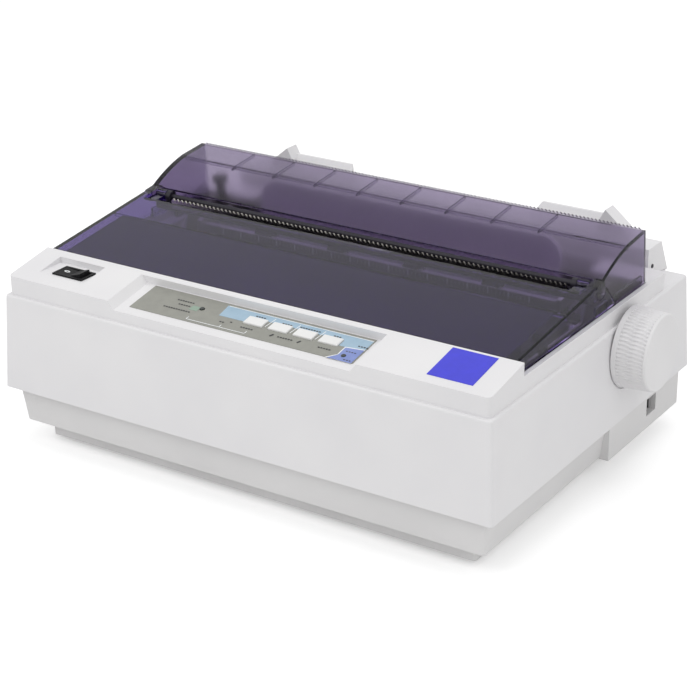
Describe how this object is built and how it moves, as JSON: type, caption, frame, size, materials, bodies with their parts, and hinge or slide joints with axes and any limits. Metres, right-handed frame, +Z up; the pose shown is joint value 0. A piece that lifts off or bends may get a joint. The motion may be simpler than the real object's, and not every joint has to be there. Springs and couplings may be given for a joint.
{
  "type": "dot matrix printer",
  "caption": "Desktop dot matrix printer with a hinged smoked cover, lift-off hood, platen and knob, print carriage, ribbon cartridge, bail and rear sheet guide.",
  "frame": {"origin": "under the middle of the whole printer, knob included, on the plane that its feet stand on", "axes": "+X to the printer's right (the knob's side) along the platen, +Y from its front to its rear, +Z up"},
  "size_m": [0.366, 0.256, 0.1455],
  "materials": {
    "case_abs": "fine textured",
    "base_abs": "fine textured",
    "smoked_plastic": "polished, see-through",
    "dark_beam": "satin",
    "feet_rubber": "matte",
    "steel": "bright",
    "bushing_bronze": "satin",
    "gear_acetal": "satin",
    "motor_steel": "painted",
    "head_aluminium": "cast",
    "board_laminate": "glossy",
    "chip_black": "satin",
    "label_film": "satin film",
    "blue_plate": "glossy",
    "lamp_lens": "clear",
    "ribbon_cloth": "woven"
  },
  "bodies": {
    "base": {"lower_case": "base_abs", "upper_case": "case_abs", "rubber_feet": "feet_rubber", "case_screws": "steel", "frame_screws": "steel", "panel_label": "label_film", "name_plate": "blue_plate", "panel_board": "board_laminate", "panel_lamps": "lamp_lens", "power_switch_body": "dark_beam", "platen_bushes": "bushing_bronze", "left_side_frame": "steel", "right_side_frame": "steel", "frame_base": "steel", "carriage_shaft": "steel", "feed_motor": "motor_steel", "carriage_motor": "motor_steel", "carriage_belt": "feet_rubber", "lower_paper_guide": "dark_beam", "paper_separator": "case_abs", "entry_guide": "dark_beam", "main_board": "board_laminate", "board_parts": "chip_black", "interface_ports": "chip_black", "ac_inlet": "chip_black", "transformer": "motor_steel"},
    "hood": {"rear_hood": "smoked_plastic", "hood_beam": "dark_beam", "hinge_rod": "dark_beam", "tear_bar": "steel"},
    "cover": {"front_cover": "smoked_plastic", "cover_liner": "dark_beam"},
    "platen": {"platen_shaft": "steel", "platen_roller": "feet_rubber", "platen_knob": "case_abs", "platen_gear": "gear_acetal"},
    "idler": {"idler_gear": "gear_acetal"},
    "pinion": {"feed_pinion": "gear_acetal"},
    "front_pinch": {"front_pinch_rollers": "feet_rubber"},
    "rear_pinch": {"rear_pinch_rollers": "feet_rubber"},
    "bail": {"paper_bail": "steel"},
    "bail_wheels": {"bail_rollers": "feet_rubber"},
    "head": {"carriage": "dark_beam", "print_head": "head_aluminium", "head_heat_sink": "head_aluminium"},
    "motor_pulley": {"drive_pulley": "gear_acetal"},
    "end_pulley": {"tension_pulley": "gear_acetal"},
    "cartridge": {"ribbon_cartridge": "dark_beam", "ribbon": "ribbon_cloth"},
    "winder": {"ribbon_knob": "dark_beam"},
    "release": {"release_lever": "dark_beam"},
    "head_gap": {"gap_lever": "dark_beam"},
    "rocker": {"power_rocker": "dark_beam"},
    "sheet_rest": {"sheet_guide": "case_abs"},
    "left_guide": {"left_edge_guide": "case_abs"},
    "right_guide": {"right_edge_guide": "case_abs"},
    "button_1": {"panel_button_1": "case_abs"},
    "button_2": {"panel_button_2": "case_abs"},
    "button_3": {"panel_button_3": "case_abs"},
    "button_4": {"panel_button_4": "case_abs"}
  },
  "joints": [
    {"name": "hood_lift", "type": "slide", "parent": "base", "child": "hood", "axis": [0, 0, 1], "range_m": [0, 0.06]},
    {"name": "cover_hinge", "type": "hinge", "parent": "hood", "child": "cover", "pos_m": [0, 0.0125, 0.126], "axis": [1, 0, 0], "range_deg": [-92, 0]},
    {"name": "platen_spin", "type": "hinge", "parent": "base", "child": "platen", "pos_m": [0, 0.038, 0.0831], "axis": [1, 0, 0], "continuous": true},
    {"name": "idler_spin", "type": "hinge", "parent": "base", "child": "idler", "pos_m": [-0.16, 0.05806, 0.0592], "axis": [1, 0, 0], "continuous": true},
    {"name": "pinion_spin", "type": "hinge", "parent": "base", "child": "pinion", "pos_m": [-0.16, 0.07384, 0.05345], "axis": [1, 0, 0], "continuous": true},
    {"name": "front_pinch_spin", "type": "hinge", "parent": "base", "child": "front_pinch", "pos_m": [-0.01, 0.0255, 0.06524], "axis": [1, 0, 0], "continuous": true},
    {"name": "rear_pinch_spin", "type": "hinge", "parent": "base", "child": "rear_pinch", "pos_m": [-0.01, 0.0505, 0.06524], "axis": [1, 0, 0], "continuous": true},
    {"name": "bail_swing", "type": "hinge", "parent": "base", "child": "bail", "pos_m": [-0.01, 0.054, 0.104], "axis": [1, 0, 0], "range_deg": [-25, 0]},
    {"name": "bail_roller_spin", "type": "hinge", "parent": "bail", "child": "bail_wheels", "pos_m": [-0.01, 0.0286, 0.1032], "axis": [1, 0, 0], "continuous": true},
    {"name": "carriage_travel", "type": "slide", "parent": "base", "child": "head", "axis": [1, 0, 0], "range_m": [-0.1, 0.1]},
    {"name": "motor_pulley_spin", "type": "hinge", "parent": "base", "child": "motor_pulley", "pos_m": [-0.134, -0.036, 0.054], "axis": [0, 0, 1], "range_deg": [-860, 860]},
    {"name": "end_pulley_spin", "type": "hinge", "parent": "base", "child": "end_pulley", "pos_m": [0.114, -0.036, 0.054], "axis": [0, 0, 1], "range_deg": [-860, 860]},
    {"name": "cartridge_lift", "type": "slide", "parent": "base", "child": "cartridge", "axis": [0, 0, 1], "range_m": [0, 0.006]},
    {"name": "ribbon_winder_spin", "type": "hinge", "parent": "cartridge", "child": "winder", "pos_m": [-0.11, -0.056, 0.105], "axis": [0, 0, 1], "continuous": true},
    {"name": "release_lever_swing", "type": "hinge", "parent": "base", "child": "release", "pos_m": [-0.1584, 0.068, 0.092], "axis": [1, 0, 0], "range_deg": [0, 18]},
    {"name": "gap_lever_swing", "type": "hinge", "parent": "base", "child": "head_gap", "pos_m": [0.1384, -0.03, 0.078], "axis": [1, 0, 0], "range_deg": [-15, 15]},
    {"name": "power_rocker_tip", "type": "hinge", "parent": "base", "child": "rocker", "pos_m": [-0.1415, -0.104, 0.1104], "axis": [0, 1, 0], "range_deg": [0, 14]},
    {"name": "sheet_guide_lift", "type": "slide", "parent": "base", "child": "sheet_rest", "axis": [0, 0, 1], "range_m": [0, 0.03]},
    {"name": "left_edge_travel", "type": "slide", "parent": "sheet_rest", "child": "left_guide", "axis": [1, 0, 0], "range_m": [-0.02, 0.05]},
    {"name": "right_edge_travel", "type": "slide", "parent": "sheet_rest", "child": "right_guide", "axis": [1, 0, 0], "range_m": [-0.05, 0.02]},
    {"name": "button_1_press", "type": "slide", "parent": "base", "child": "button_1", "axis": [0, 0.1791, -0.9838], "range_m": [0, 0.0008], "stiffness_N_per_m": 400, "springref_m": -0.0006},
    {"name": "button_2_press", "type": "slide", "parent": "base", "child": "button_2", "axis": [0, 0.1791, -0.9838], "range_m": [0, 0.0008], "stiffness_N_per_m": 400, "springref_m": -0.0006},
    {"name": "button_3_press", "type": "slide", "parent": "base", "child": "button_3", "axis": [0, 0.1791, -0.9838], "range_m": [0, 0.0008], "stiffness_N_per_m": 400, "springref_m": -0.0006},
    {"name": "button_4_press", "type": "slide", "parent": "base", "child": "button_4", "axis": [0, 0.1791, -0.9838], "range_m": [0, 0.0008], "stiffness_N_per_m": 400, "springref_m": -0.0006}
  ],
  "couplings": [
    {"joint": "idler_spin", "follows": "platen_spin", "ratio": -1.6},
    {"joint": "pinion_spin", "follows": "platen_spin", "ratio": 4},
    {"joint": "front_pinch_spin", "follows": "platen_spin", "ratio": -2.5833},
    {"joint": "rear_pinch_spin", "follows": "platen_spin", "ratio": -2.5833},
    {"joint": "motor_pulley_spin", "follows": "carriage_travel", "rad_per_m": 147.06},
    {"joint": "end_pulley_spin", "follows": "carriage_travel", "rad_per_m": 147.06}
  ]
}
